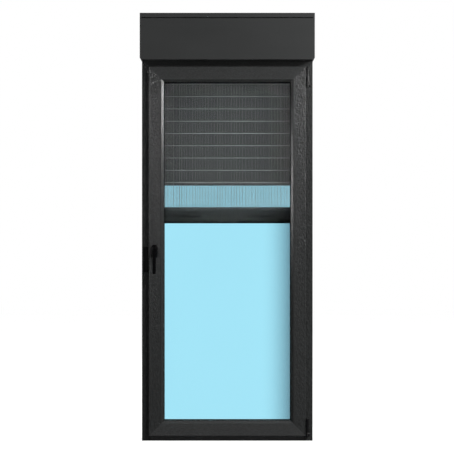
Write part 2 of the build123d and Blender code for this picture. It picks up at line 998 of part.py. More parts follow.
def screen_mesh():
    """The stretched mesh from its bottom bar to the roller in the box."""
    reach = guide_inner + mesh_hem
    return block(
        (-reach, reach),
        (screen_y - mesh_thickness / 2, screen_y + mesh_thickness / 2),
        (screen_bar_bottom + screen_bar_height, frame_height + 2 * screen_roller_radius),
    )


def screen_roller():
    """The roller that winds the mesh, just inside the box."""
    plane = Plane(
        origin=(
            -frame_width / 2,
            screen_y - mesh_thickness / 2 - screen_roller_radius - seal_clearance,
            frame_height + box_wall + screen_roller_radius + roller_gap,
        ),
        z_dir=(1, 0, 0),
    )
    with BuildPart() as roller:
        with BuildSketch(plane):
            Circle(screen_roller_radius)
        extrude(amount=frame_width)
    return roller.part


save(shutter_axle(), "shutter_axle")
save(shutter_roll(), "shutter_roll")
save(shutter_curtain(), "shutter_curtain")
save(slat(curtain_bottom, end_slat_height, grooved=False), "shutter_end_slat")
save(guide(-1), "guide_left")
save(guide(1), "guide_right")
save(screen_bar(), "screen_bar")
save(screen_grips(), "screen_grips")
save(screen_mesh(), "screen_mesh")
save(screen_roller(), "screen_roller")
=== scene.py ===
import math
import random

import bpy
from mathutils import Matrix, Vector


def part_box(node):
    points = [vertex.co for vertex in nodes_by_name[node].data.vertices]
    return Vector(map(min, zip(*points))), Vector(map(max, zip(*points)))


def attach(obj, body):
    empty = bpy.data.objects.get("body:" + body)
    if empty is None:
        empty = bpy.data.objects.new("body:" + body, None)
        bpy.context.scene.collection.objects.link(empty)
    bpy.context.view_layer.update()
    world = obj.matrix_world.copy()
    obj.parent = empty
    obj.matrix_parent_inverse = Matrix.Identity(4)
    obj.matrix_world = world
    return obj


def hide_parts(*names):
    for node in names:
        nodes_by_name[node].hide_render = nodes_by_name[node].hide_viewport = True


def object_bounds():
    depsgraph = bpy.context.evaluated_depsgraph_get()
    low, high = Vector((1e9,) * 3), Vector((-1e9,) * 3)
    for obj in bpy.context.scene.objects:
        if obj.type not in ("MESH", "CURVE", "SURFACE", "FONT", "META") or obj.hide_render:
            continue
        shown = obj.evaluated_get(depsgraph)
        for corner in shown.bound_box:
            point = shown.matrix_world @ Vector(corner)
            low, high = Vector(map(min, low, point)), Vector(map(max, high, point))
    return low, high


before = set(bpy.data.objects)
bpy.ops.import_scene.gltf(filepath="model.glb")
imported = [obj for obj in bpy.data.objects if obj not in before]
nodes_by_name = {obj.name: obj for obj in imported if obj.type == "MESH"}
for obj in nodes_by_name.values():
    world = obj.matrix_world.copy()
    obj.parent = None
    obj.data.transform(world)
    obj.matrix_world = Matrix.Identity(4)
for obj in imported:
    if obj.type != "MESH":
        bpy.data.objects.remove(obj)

cad_low, cad_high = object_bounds()

# Lengths are in metres and colours in linear RGB. The room side is -Y, the outside +Y
X, Y, Z = 0, 1, 2

# The camera stands where the photograph was taken from: square on, at half the door's height
VIEW_WIDTH = 2.336
VIEW_CENTRE = (-0.0015, 1.102)
CAMERA_DISTANCE = 9.0
SENSOR_MM = 36.0

# The ground is white to the camera and pale blue to rays that leave through the glass
WHITE = (1.0, 1.0, 1.0)
SKY = (0.42, 0.82, 0.955)
AMBIENT = 0.15
FLOOR_HALF = 14.0
FLOOR_GAP = 0.0005
FLOOR_DARK = (0.33, 0.33, 0.33)
FLOOR_LIGHT = (0.36, 0.36, 0.36)
FLOOR_GLOW = 0.9

# Each lamp's name, place, target, size and watts, and whether it lights gloss alone. Key, front
# and back light the door; the rest draw the foil's grain and the edges of the beads
LAMPS = (
    ("lamp_key", (2.9, -1.9, cad_high[Z] + 0.75), (0.0, 0.0, 1.3), 0.45, 125.0, False),
    ("lamp_front", (4.2, -4.6, cad_high[Z] + 3.8), (0.0, 0.0, 1.2), 0.8, 335.0, False),
    ("lamp_grain", (1.5, -1.1, 2.1), (0.2, 0.0, 1.75), 0.16, 200.0, True),
    ("lamp_right", (2.4, -0.38, 1.97), (-0.33, -0.05, 1.75), 0.3, 100.0, True),
    ("lamp_left", (-2.4, -0.38, 1.4), (0.33, -0.05, 1.35), 0.4, 60.0, True),
    ("lamp_back", (-2.6, 4.6, 3.4), (0.0, 0.0, 1.3), 0.8, 170.0, False),
    ("lamp_grain_left", (-1.8, -1.4, 1.8), (-0.33, -0.05, 1.5), 0.2, 180.0, True),
)

# Frame, leaf and box
ANTHRACITE = (0.033, 0.034, 0.034)
# Painted shade and light: the same foil as ANTHRACITE, as darker copies on stiles, jambs and
# upright beads and a lighter copy on sill and bottom rail
UPRIGHT_SHADED_GREY = (0.024, 0.025, 0.025)
JAMB_SHADED_GREY = (0.028, 0.029, 0.029)
LOW_LIT_GREY = (0.043, 0.044, 0.044)
BEAD_SHADED_DARK = (0.02, 0.0205, 0.0205)
BOX_GREY = (0.03, 0.031, 0.031)
SPACER_GREY = (0.05, 0.05, 0.05)
RUBBER_BLACK = (0.002, 0.002, 0.002)
RUBBER_DUST = (0.009, 0.009, 0.0085)

# Fittings
BLACK = (0.003, 0.003, 0.0033)
COVER_BLACK = (0.001, 0.001, 0.0012)
COVER_WORN = (0.003, 0.003, 0.003)
HINGE_BLACK = (0.004, 0.004, 0.0045)
ZINC = (0.56, 0.57, 0.58)
TARNISH = (0.5, 0.47, 0.38)
ARM_STEEL = ((0.5, 0.5, 0.5), (0.6, 0.6, 0.6))
LEAF_STEEL = ((0.05, 0.05, 0.05), (0.09, 0.09, 0.088))
BURNISHED = ((0.018, 0.018, 0.019), (0.035, 0.034, 0.032))
SPANGLE = ((0.42, 0.44, 0.46), (0.62, 0.63, 0.64))

# Behind the glass. The white that rays through glass see lights these pieces too, so their
# colours are darker than they look
SLAT_GREY = (0.008, 0.008, 0.008)
# Painted highlight on what the slats turn upwards
SLAT_TOP_HIGHLIGHT = (0.6, 0.585, 0.56)
GUIDE_GREY = (0.03, 0.031, 0.032)
BAR_GREY = (0.0088, 0.0083, 0.0078)
# Painted highlight on the screen bar's upper bead
BAR_TOP_HIGHLIGHT = (0.0175, 0.0165, 0.016)
GRIP_BLACK = (0.0006, 0.0006, 0.0007)
BRISTLE_BLACK = ((0.0003, 0.0003, 0.0003), (0.0015, 0.0015, 0.0015))
THREAD_GREY = (0.045, 0.039, 0.0375)
THREAD_GLOW = (0.52, 0.468, 0.448)
PANE_TINT = (0.94, 0.982, 0.994)
# Painted shade at the pane's right edge
PANE_EDGE_SHADE = (0.56, 0.58, 0.6)
# Close to air's, so that the pane reflects little and hardly bends what is behind it
PANE_IOR = 1.06

# A Mix node's sockets when it mixes colours
MIX_FACTOR, MIX_FIRST, MIX_SECOND, MIX_RESULT = 0, 6, 7, 2

# Noise: where most of its values lie, and cells a metre that several finishes share
MOST = (0.3, 0.7)
CLOUD = (9.0, 9.0, 4.0)
PEEL = (1400.0, 1400.0, 1400.0)
BRUSHED = (1400.0, 1400.0, 60.0)
HANDLING = (60.0, 60.0, 25.0)
GRAIN = (260.0, 110.0)
PORES = (1500.0, 260.0)
COARSE_GRAIN = {"smooth": 0.2, "grain_depth": 0.006, "cells": (105.0, 62.0)}

# Where finishes change within a piece; the pane's painted shade as shares of its half width
HINGE_LEAF_DEPTH = 0.0035
HINGE_LEAF_FOOT = 0.011
BRUSH_HEIGHT = 0.013
BAR_BEAD = 0.017
BEAD_BLUR = 0.002
PANE_SHADE_START, PANE_SHADE_END = 0.5, 0.97
PANE_SHADE_POWER = 2.2

# Painted light on curtain and screen, lighter towards the guides and the box that shade them: off
# the middle by so much, at such heights, and how much lighter
EDGE_LIGHT_MIDDLE = -0.03
EDGE_LIGHT_ASIDE = (0.225, 0.345)
EDGE_LIGHT_HEIGHTS = (1.775, 1.83)
EDGE_LIGHT_AT_TOP = 0.75
EDGE_LIGHT_ON_SLAT = 4.0
EDGE_LIGHT_ON_THREAD = 1.8

# Insect screen: threads, and thicker warp threads that wander a little
THREAD = 0.00034
THREAD_PITCH = 0.0013
RIB_PITCH = 0.0146
RIB_WANDER = 0.0035
RIB_WIDTHS = (0.0009, 0.002)
RIB_BACK = 0.9
RIB_SEED = 7

# Lever: share of its height, and half width and half thickness as shares of the head's
LEVER_PROFILE = (
    (0.0, 0.42, 0.55), (0.012, 0.56, 0.78), (0.035, 0.65, 0.95), (0.09, 0.67, 1.0),
    (0.3, 0.67, 1.0), (0.5, 0.67, 0.96), (0.62, 0.67, 0.9), (0.68, 0.71, 0.87),
    (0.74, 0.8, 0.9), (0.79, 0.9, 0.95), (0.84, 0.97, 1.0), (0.88, 1.0, 1.0),
    (0.92, 0.96, 0.98), (0.955, 0.83, 0.9), (0.98, 0.62, 0.74), (0.995, 0.33, 0.45),
)
LEVER_RING = 20
LEVER_THICKNESS = 0.012
LEVER_ROUNDNESS = 0.8
LEVER_SMOOTHING = 2
# The neck behind it: its height on the lever, distances from the rosette's side with radii
NECK_RISE = 0.114
NECK_PROFILE = ((0.0, 0.0078), (0.004, 0.0078), (0.007, 0.0066))
NECK_TIP = 0.0072

# Screw heads with a six-lobed recess: reach at and between the lobes, and height, as shares
HEAD_PROFILE = (
    ((1.0, 1.0), -0.2), ((1.0, 1.0), 0.4), ((0.82, 0.82), 1.0), ((0.5, 0.36), 1.0),
    ((0.5, 0.36), 0.1),
)
HEAD_RING = 12
HEAD_HEIGHT = 0.0008
HEAD_RADIUS = 0.0032
KEEP_HEAD_RADIUS = 0.0024
LEAF_HEAD_RADIUS = 0.0019
# Where the screws sit
KEEP_TOPS = (0.329, 1.044, 1.749)
KEEP_SCREWS = (0.007, 0.02)
CAM_REACH = 0.009
PLATE_END = 0.012
PLATE_TOP_GAP = 0.04
PLATE_SCREWS = 8
TOP_SCREW_X = (-0.32, -0.2, 0.32)
LEAF_THICKNESS = 0.003
UPPER_LEAF_SCREWS = ((0.4215, 1.846), (0.4215, 1.868))
LOWER_LEAF_SCREWS = ((0.417, 0.047), (0.417, 0.056))


def opaque(colour):
    """A plain colour with its fourth number; a node's output stays as it is."""
    return colour if isinstance(colour, bpy.types.NodeSocket) else (*colour, 1.0)


def tone(colour, share):
    """A share of a colour."""
    return [c * share for c in colour]


def along(axis, fine, coarse):
    """Noise scale with long cells along one axis."""
    scale = [fine, fine, fine]
    scale[axis] = coarse
    return scale


class Nodes:
    """A node tree, with the steps that the finishes and the world share."""

    def __init__(self, tree):
        self.tree = tree

    def put(self, socket, value):
        """A plain value, or another node's output, on a socket."""
        if isinstance(value, bpy.types.NodeSocket):
            self.tree.links.new(value, socket)
        else:
            socket.default_value = value

    def node(self, kind, **inputs):
        """A new node with some of its inputs linked or set."""
        made = self.tree.nodes.new(kind)
        for name, value in inputs.items():
            self.put(made.inputs[name.replace("_", " ")], value)
        return made

    def math(self, operation, first, second=0.0):
        """One arithmetic step between two values."""
        made = self.node("ShaderNodeMath")
        made.operation = operation
        self.put(made.inputs[0], first)
        self.put(made.inputs[1], second)
        return made.outputs[0]

    def mixed(self, factor, first, second):
        """The first shader at factor 0, the second at 1."""
        made = self.node("ShaderNodeMixShader", Fac=factor)
        self.put(made.inputs[1], first.outputs[0])
        self.put(made.inputs[2], second.outputs[0])
        return made

    def seen_rays(self):
        """One for the rays that show the background: from the camera, off gloss, through glass."""
        rays = self.node("ShaderNodeLightPath").outputs
        seen = self.math("MAXIMUM", rays["Is Camera Ray"], rays["Is Glossy Ray"])
        return self.math("MAXIMUM", seen, rays["Is Transmission Ray"])

    def leaving_rays(self, outward):
        """One for the rays through glass, where a coordinate says that they end outside."""
        rays = self.node("ShaderNodeLightPath").outputs
        outside = self.math("GREATER_THAN", outward, 0.0)
        return self.math("MULTIPLY", rays["Is Transmission Ray"], outside)


class Finish(Nodes):
    """A material with one Principled shader and the few node chains that the finishes share."""

    def __init__(self, name, rough, metal=0.0, specular=0.5):
        self.material = bpy.data.materials.new(name)
        self.material.use_nodes = True
        super().__init__(self.material.node_tree)
        self.shader = self.tree.nodes["Principled BSDF"]
        self.place = self.node("ShaderNodeTexCoord").outputs["Object"]
        self.bump = None
        self.set("Roughness", rough)
        self.set("Metallic", metal)
        self.set("Specular IOR Level", specular)

    def set(self, socket, value):
        """A plain value, or a chain of nodes, on one of the shader's sockets."""
        self.put(self.shader.inputs[socket], value)

    def surface(self, shader):
        """Another shader than the Principled one on the output."""
        self.put(self.tree.nodes["Material Output"].inputs["Surface"], shader.outputs[0])

    def where(self, axis):
        """The object coordinate along one axis."""
        return self.node("ShaderNodeSeparateXYZ", Vector=self.place).outputs[axis]

    def stretched(self, scale):
        """Object coordinates scaled by a number of cells a metre along each axis."""
        return self.node("ShaderNodeMapping", Vector=self.place, Scale=scale).outputs[0]

    def noise(self, scale, detail, rough):
        """Noise with so many cells a metre along x, y and z."""
        place = self.stretched(scale)
        made = self.node(
            "ShaderNodeTexNoise", Vector=place, Scale=1.0, Detail=detail, Roughness=rough
        )
        return made.outputs[0]

    def cells(self, scale):
        """One random value for each cell of a Voronoi pattern."""
        made = self.node("ShaderNodeTexVoronoi", Vector=self.stretched(scale), Scale=1.0)
        return self.node("ShaderNodeSeparateColor", Color=made.outputs["Color"]).outputs[0]

    def span(self, value, low, high, start, end):
        """A value mapped from low..high to start..end."""
        made = self.node(
            "ShaderNodeMapRange", Value=value, From_Min=low, From_Max=high, To_Min=start, To_Max=end
        )
        return made.outputs[0]

    def patches(self, value, low, high, most=1.0):
        """Nothing where a value is below low, rising to most where it is above high."""
        return self.span(value, low, high, 0.0, most)

    def roughen(self, value, low, high, smoothest, roughest):
        """Roughness that follows a value."""
        self.set("Roughness", self.span(value, low, high, smoothest, roughest))

    def blend(self, factor, first, second):
        """A colour between two colours or colour chains."""
        made = self.node("ShaderNodeMix")
        made.data_type = "RGBA"
        self.put(made.inputs[MIX_FACTOR], factor)
        self.put(made.inputs[MIX_FIRST], opaque(first))
        self.put(made.inputs[MIX_SECOND], opaque(second))
        return made.outputs[MIX_RESULT]

    def mottled(self, value, colour, dark, light):
        """A colour that goes from its dark to its light share as a value goes from 0 to 1."""
        return self.blend(value, tone(colour, dark), tone(colour, light))

    def relief(self, height, depth, strength):
        """Adds a bump of that depth in metres on top of any bump before it."""
        made = self.node("ShaderNodeBump", Height=height, Distance=depth, Strength=strength)
        if self.bump is not None:
            self.put(made.inputs["Normal"], self.bump)
        self.bump = made.outputs[0]
        self.set("Normal", self.bump)


def foil(name, axis, colour, specular=0.03, smooth=0.25, grain_depth=0.0008, cells=GRAIN):
    """Laminated profile: an embossed grain along the bar that catches the light in specks."""
    finish = Finish(name, rough=0.4, specular=specular)
    grain = finish.noise(along(axis, *cells), detail=4.0, rough=0.65)
    pores = finish.noise(along(axis, *PORES), detail=2.0, rough=0.5)
    cloud = finish.noise((5.0, 5.0, 3.0), detail=2.0, rough=0.5)
    dark = tone(colour, 0.78)
    streaks = finish.blend(finish.patches(grain, 0.35, 0.65), dark, tone(colour, 1.22))
    clouded = finish.patches(cloud, *MOST, most=0.35)
    finish.set("Base Color", finish.blend(clouded, streaks, dark))
    finish.roughen(pores, *MOST, smooth, smooth + 0.2)
    finish.relief(grain, grain_depth, strength=0.8)
    finish.relief(pores, depth=0.0003, strength=0.5)
    return finish.material


def satin(name, colour, rough=0.45):
    """Smooth extruded plastic with faint drawing lines and a soft cloudiness."""
    finish = Finish(name, rough, specular=0.03)
    lines = finish.noise((6.0, 900.0, 900.0), detail=2.0, rough=0.5)
    cloud = finish.noise((3.0, 8.0, 8.0), detail=2.0, rough=0.5)
    finish.set("Base Color", finish.mottled(cloud, colour, 0.88, 1.12))
    finish.roughen(lines, *MOST, rough - 0.06, rough + 0.08)
    finish.relief(lines, depth=0.00006, strength=0.5)
    return finish.material


def powder_coat(name, colour):
    """Powder-coated aluminium with a fine orange peel."""
    finish = Finish(name, rough=0.5, specular=0.05)
    peel = finish.noise(PEEL, detail=2.0, rough=0.5)
    cloud = finish.noise(CLOUD, detail=3.0, rough=0.6)
    finish.set("Base Color", finish.mottled(cloud, colour, 0.85, 1.15))
    finish.roughen(cloud, *MOST, 0.43, 0.57)
    finish.relief(peel, depth=0.00012, strength=0.6)
    return finish.material


def moulded(name, colour, rough, specular):
    """Moulded plastic with a fine spark-eroded texture and faint handling marks."""
    finish = Finish(name, rough, specular=specular)
    spark = finish.noise((2600.0, 2600.0, 2600.0), detail=2.0, rough=0.6)
    marks = finish.noise(HANDLING, detail=4.0, rough=0.7)
    finish.set("Base Color", finish.mottled(marks, colour, 0.8, 1.25))
    finish.roughen(marks, 0.35, 0.7, rough - 0.08, rough + 0.12)
    finish.relief(spark, depth=0.00008, strength=0.5)
    return finish.material


def rubber(name):
    """Extruded sealing rubber, dull, with dust in its surface."""
    finish = Finish(name, rough=0.75, specular=0.03)
    dust = finish.noise((700.0, 700.0, 700.0), detail=3.0, rough=0.6)
    lines = finish.noise((40.0, 40.0, 40.0), detail=2.0, rough=0.5)
    dust_and_highlight = finish.patches(dust, 0.45, 0.8, most=0.5)
    finish.set("Base Color", finish.blend(dust_and_highlight, RUBBER_BLACK, RUBBER_DUST))
    finish.roughen(lines, *MOST, 0.65, 0.85)
    finish.relief(dust, depth=0.0001, strength=0.6)
    return finish.material


def plated_steel(name):
    """Zinc-plated pressed steel: brushed along its length, with a faint yellow tarnish."""
    finish = Finish(name, rough=0.35, metal=1.0)
    brush = finish.noise(BRUSHED, detail=3.0, rough=0.6)
    tarnish = finish.noise((30.0, 30.0, 12.0), detail=3.0, rough=0.6)
    finish.set("Base Color", finish.blend(finish.patches(tarnish, 0.4, 0.7), ZINC, TARNISH))
    finish.roughen(brush, *MOST, 0.26, 0.46)
    finish.relief(brush, depth=0.00004, strength=0.5)
    return finish.material


def capped_steel(name, behind):
    """Zinc-plated steel inside the rebate, under a black cover where it stands in the room."""
    finish = Finish(name, rough=0.35, specular=0.02)
    bare = finish.math("GREATER_THAN", finish.where(Y), behind)
    brush = finish.noise((1400.0, 60.0, 1400.0), detail=3.0, rough=0.6)
    marks = finish.noise(HANDLING, detail=4.0, rough=0.7)
    black = finish.blend(marks, COVER_BLACK, COVER_WORN)
    finish.set("Base Color", finish.blend(bare, black, finish.blend(brush, *ARM_STEEL)))
    finish.set("Metallic", bare)
    finish.roughen(brush, *MOST, 0.26, 0.44)
    finish.relief(brush, depth=0.00004, strength=0.5)
    return finish.material


def hinge_finish(name, leaf_face, leaf_foot):
    """Black hinge covers; the leaf behind the upper barrel is bare steel."""
    finish = Finish(name, rough=0.3, specular=0.03)
    marks = finish.noise(HANDLING, detail=4.0, rough=0.7)
    brush = finish.noise(BRUSHED, detail=3.0, rough=0.6)
    deep = finish.math("GREATER_THAN", finish.where(Y), leaf_face)
    high = finish.math("GREATER_THAN", finish.where(Z), leaf_foot)
    leaf = finish.math("MULTIPLY", deep, high)
    black = finish.blend(marks, COVER_BLACK, COVER_WORN)
    finish.set("Base Color", finish.blend(leaf, black, finish.blend(brush, *LEAF_STEEL)))
    finish.roughen(marks, 0.35, 0.7, 0.24, 0.42)
    finish.relief(brush, depth=0.00003, strength=0.5)
    return finish.material


def burnished(name):
    """Dark burnished steel with turning marks."""
    finish = Finish(name, rough=0.25, metal=1.0)
    rings = finish.noise((60.0, 60.0, 1800.0), detail=2.0, rough=0.5)
    worn = finish.noise((90.0, 90.0, 90.0), detail=3.0, rough=0.6)
    finish.set("Base Color", finish.blend(worn, *BURNISHED))
    finish.roughen(rings, *MOST, 0.2, 0.32)
    finish.relief(rings, depth=0.00003, strength=0.5)
    return finish.material


def galvanised(name):
    """Galvanised steel with its spangle."""
    finish = Finish(name, rough=0.4, metal=1.0)
    spangle = finish.cells((90.0, 90.0, 90.0))
    grime = finish.noise((25.0, 25.0, 25.0), detail=3.0, rough=0.6)
    finish.set("Base Color", finish.blend(spangle, *SPANGLE))
    finish.roughen(spangle, 0.0, 1.0, 0.32, 0.55)
    finish.relief(grime, depth=0.00008, strength=0.4)
    return finish.material


def edge_painted_light(finish):
    """Painted light: 0 in the middle of curtain and screen, rising towards the guides and the box,
    against the shade that they cast.
    """
    aside = finish.math("ABSOLUTE", finish.math("SUBTRACT", finish.where(X), EDGE_LIGHT_MIDDLE))
    top = finish.patches(finish.where(Z), *EDGE_LIGHT_HEIGHTS, most=EDGE_LIGHT_AT_TOP)
    return finish.math("ADD", finish.patches(aside, *EDGE_LIGHT_ASIDE), top)


def slat_lacquer(name):
    """Lacquered slats with faint forming lines, painted light near the guides and the box and a
    painted highlight on what faces up.
    """
    finish = Finish(name, rough=0.42, specular=0.05)
    lines = finish.noise((3.0, 700.0, 700.0), detail=2.0, rough=0.5)
    dust = finish.noise((60.0, 60.0, 60.0), detail=4.0, rough=0.7)
    normal = finish.node("ShaderNodeTexCoord").outputs["Normal"]
    up = finish.node("ShaderNodeSeparateXYZ", Vector=normal).outputs[Z]
    uneven_up = finish.math("ADD", up, finish.math("MULTIPLY", dust, 0.3))
    worn = finish.patches(dust, 0.4, 0.75, most=0.6)
    lacquer = finish.blend(worn, SLAT_GREY, tone(SLAT_GREY, 1.35))
    # Painted light: lighter towards the guides and the box, against their shade
    lacquer = finish.blend(edge_painted_light(finish), lacquer, tone(SLAT_GREY, EDGE_LIGHT_ON_SLAT))
    # Painted highlight: what faces up is far lighter, as if lit from above
    dust_and_highlight = finish.patches(uneven_up, 0.45, 0.65)
    finish.set("Base Color", finish.blend(dust_and_highlight, lacquer, SLAT_TOP_HIGHLIGHT))
    finish.roughen(dust, 0.35, 0.7, 0.36, 0.55)
    finish.relief(lines, depth=0.00012, strength=0.5)
    return finish.material


def mesh_thread(name):
    """Coated glass-fibre thread that lets some daylight through, with painted light near guides and
    roller.
    """
    finish = Finish(name, rough=0.6, specular=0.04)
    uneven = finish.noise((160.0, 160.0, 160.0), detail=3.0, rough=0.6)
    finish.set("Base Color", finish.mottled(uneven, THREAD_GREY, 0.75, 1.25))
    finish.roughen(uneven, *MOST, 0.5, 0.7)
    finish.relief(uneven, depth=0.0001, strength=0.5)
    # Painted light: the translucent colour lighter towards guides and roller
    glow = finish.blend(edge_painted_light(finish), THREAD_GLOW, tone(THREAD_GLOW, EDGE_LIGHT_ON_THREAD))
    through = finish.node("ShaderNodeBsdfTranslucent", Color=glow)
    finish.surface(finish.mixed(0.5, finish.shader, through))
    return finish.material


def screen_bar_coat(name, brush_top, bead_foot):
    """Powder-coated bar with a painted highlight on its upper bead and the black brush along its
    foot.
    """
    finish = Finish(name, rough=0.4, specular=0.015)
    peel = finish.noise(PEEL, detail=2.0, rough=0.5)
    cloud = finish.noise(CLOUD, detail=3.0, rough=0.6)
    hairs = finish.noise((900.0, 900.0, 40.0), detail=2.0, rough=0.6)
    height = finish.where(Z)
    coated = finish.math("GREATER_THAN", height, brush_top)
    paint = finish.mottled(cloud, BAR_GREY, 0.85, 1.15)
    # Painted highlight: the upper bead lighter, as if lit from above
    dust_and_highlight = finish.patches(height, bead_foot - BEAD_BLUR, bead_foot + BEAD_BLUR)
    paint = finish.blend(dust_and_highlight, paint, BAR_TOP_HIGHLIGHT)
    brush = finish.blend(hairs, *BRISTLE_BLACK)
    finish.set("Base Color", finish.blend(coated, brush, paint))
    finish.roughen(coated, 0.0, 1.0, 0.85, 0.4)
    finish.relief(peel, depth=0.00012, strength=0.6)
    return finish.material


def tinted_glass(name, painted_shade_start, painted_shade_end, bar_foot, bar_top):
    """A cyan pane with painted shade towards its right edge below the screen's bar. Lamps shine
    through.
    """
    finish = Finish(name, rough=0.0, specular=0.5)
    cloud = finish.noise((2.0, 2.0, 1.5), detail=2.0, rough=0.5)
    film = finish.noise((14.0, 14.0, 6.0), detail=4.0, rough=0.6)
    # Painted shade: darker towards the right edge
    shade = finish.patches(finish.where(X), painted_shade_start, painted_shade_end)
    shade = finish.math("POWER", shade, PANE_SHADE_POWER)
    below = finish.span(finish.where(Z), bar_foot, bar_top, 1.0, 0.0)
    shade = finish.math("MULTIPLY", shade, below)
    even = finish.blend(finish.patches(cloud, *MOST), tone(PANE_TINT, 0.992), PANE_TINT)
    colour = finish.blend(shade, even, PANE_EDGE_SHADE)
    finish.set("Base Color", colour)
    finish.roughen(film, 0.45, 0.8, 0.0, 0.02)
    finish.set("Transmission Weight", 1.0)
    finish.set("IOR", PANE_IOR)
    clear = finish.node("ShaderNodeBsdfTransparent", Color=colour)
    rays = finish.node("ShaderNodeLightPath").outputs
    finish.surface(finish.mixed(rays["Is Shadow Ray"], finish.shader, clear))
    return finish.material


def floor_finish():
    """A pale floor that reads as the photograph's white ground and keeps the shadow."""
    finish = Finish("floor_pale", rough=0.9, specular=0.1)
    mottle = finish.noise((3.0, 3.0, 3.0), detail=2.0, rough=0.5)
    finish.set("Base Color", finish.blend(mottle, FLOOR_DARK, FLOOR_LIGHT))
    strength = finish.math("MULTIPLY", finish.seen_rays(), FLOOR_GLOW)
    glow = finish.node("ShaderNodeEmission", Color=opaque(WHITE), Strength=strength)
    ground = finish.node("ShaderNodeAddShader")
    finish.put(ground.inputs[0], finish.shader.outputs[0])
    finish.put(ground.inputs[1], glow.outputs[0])
    sky = finish.node("ShaderNodeEmission", Color=opaque(SKY), Strength=1.0)
    finish.surface(finish.mixed(finish.leaving_rays(finish.where(Y)), ground, sky))
    return finish.material


def light_the_stage():
    """White background, soft world light and the lamps."""
    world = bpy.data.worlds.new("studio")
    bpy.context.scene.world = world
    world.use_nodes = True
    world.node_tree.nodes.clear()
    nodes = Nodes(world.node_tree)
    ambient = nodes.node("ShaderNodeBackground", Color=opaque(WHITE), Strength=AMBIENT)
    backdrop = nodes.node("ShaderNodeBackground", Color=opaque(WHITE), Strength=1.0)
    sky = nodes.node("ShaderNodeBackground", Color=opaque(SKY), Strength=1.0)
    direction = nodes.node("ShaderNodeTexCoord").outputs["Generated"]
    outward = nodes.node("ShaderNodeSeparateXYZ", Vector=direction).outputs[Y]
    studio = nodes.mixed(nodes.seen_rays(), ambient, backdrop)
    surface = nodes.mixed(nodes.leaving_rays(outward), studio, sky)
    nodes.node("ShaderNodeOutputWorld", Surface=surface.outputs[0])
    for name, place, target, size, watts, gloss_only in LAMPS:
        add_lamp(name, place, target, size, watts, gloss_only)


def add_lamp(name, place, target, size, watts, gloss_only):
    """A square soft lamp turned towards a point; one for gloss alone draws highlights."""
    data = bpy.data.lights.new(name, "AREA")
    data.size = size
    data.energy = watts
    lamp = bpy.data.objects.new(name, data)
    bpy.context.scene.collection.objects.link(lamp)
    lamp.location = place
    lamp.visible_diffuse = not gloss_only
    lamp.visible_transmission = not gloss_only
    lamp.rotation_euler = (Vector(target) - Vector(place)).to_track_quat("-Z", "Y").to_euler()


def set_camera():
    """Square on to the room side; the door fills the frame as in the photograph."""
    data = bpy.data.cameras.new("camera")
    data.sensor_width = SENSOR_MM
    data.lens = SENSOR_MM * CAMERA_DISTANCE / VIEW_WIDTH
    camera = bpy.data.objects.new("camera", data)
    bpy.context.scene.collection.objects.link(camera)
    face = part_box("sash_stile_left")[0][Y]
    camera.location = (VIEW_CENTRE[0], face - CAMERA_DISTANCE, VIEW_CENTRE[1])
    camera.rotation_euler = (math.radians(90.0), 0.0, 0.0)
    bpy.context.scene.camera = camera


def lay_floor():
    """The floor just under the frame."""
    data = bpy.data.meshes.new("floor")
    half = FLOOR_HALF
    corners = [(-half, -half, 0), (half, -half, 0), (half, half, 0), (-half, half, 0)]
    data.from_pydata(corners, [], [(0, 1, 2, 3)])
    floor = bpy.data.objects.new("floor", data)
    bpy.context.scene.collection.objects.link(floor)
    floor.location.z = cad_low[Z] - FLOOR_GAP
    data.materials.append(floor_finish())


def dress(material, *names):
    """Gives CAD nodes a finish."""
    for name in names:
        piece = nodes_by_name[name]
        piece.data.materials.clear()
        piece.data.materials.append(material)


def mesh_object(name, corners, faces, material, body):
    """A new piece from corners and faces."""
    data = bpy.data.meshes.new(name)
    data.from_pydata(corners, [], faces)
    data.materials.append(material)
    made = bpy.data.objects.new(name, data)
    bpy.context.scene.collection.objects.link(made)
    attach(made, body)
    return made


def add_bar(corners, faces, low, high):
    """Adds a closed bar between two corners."""
    first = len(corners)
    for x in (low[X], high[X]):
        for y in (low[Y], high[Y]):
            for z in (low[Z], high[Z]):
                corners.append((x, y, z))
    for side in (
        (0, 1, 3, 2), (4, 6, 7, 5), (0, 4, 5, 1), (2, 3, 7, 6), (0, 2, 6, 4), (1, 5, 7, 3),
    ):
        faces.append([first + i for i in side])


def add_skin(corners, faces, rings):
    """Adds a closed skin over rings with as many corners each."""
    first = len(corners)
    count = len(rings[0])
    for ring in rings:
        corners.extend(ring)
    for row in range(len(rings) - 1):
        here = first + row * count
        there = here + count
        for i in range(count):
            after = (i + 1) % count
            faces.append([here + i, here + after, there + after, there + i])
    faces.append([first + i for i in reversed(range(count))])
    faces.append([first + (len(rings) - 1) * count + i for i in range(count)])


def circle(count):
    """Cosine and sine of angles spread evenly round a circle."""
    angles = [2 * math.pi * i / count for i in range(count)]
    return [(math.cos(angle), math.sin(angle)) for angle in angles]


def insect_screen(material):
    """The woven mesh, thread by thread, with thicker warp threads that wander a little."""
    low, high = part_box("screen_mesh")
    middle = (low[Y] + high[Y]) / 2
    half = THREAD / 2
    front, back = middle - half, middle + half
    corners, faces = [], []
    count = int((high[X] - low[X]) / THREAD_PITCH)
    for index in range(count + 1):
        x = low[X] + half + index * THREAD_PITCH
        add_bar(corners, faces, (x - half, front, low[Z]), (x + half, back, high[Z]))
    rows = int((high[Z] - low[Z]) / THREAD_PITCH)
    for index in range(rows + 1):
        z = low[Z] + half + index * THREAD_PITCH
        add_bar(corners, faces, (low[X], front, z - half), (high[X], back, z + half))
    back = middle + half * RIB_BACK
    choice = random.Random(RIB_SEED)
    x = low[X] + RIB_PITCH
    while x < high[X] - RIB_PITCH:
        wide = choice.uniform(*RIB_WIDTHS) / 2
        add_bar(corners, faces, (x - wide, front, low[Z]), (x + wide, back, high[Z]))
        x += RIB_PITCH + choice.uniform(-RIB_WANDER, RIB_WANDER)
    screen = mesh_object("insect_screen", corners, faces, material, "frame")
    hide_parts("screen_mesh")


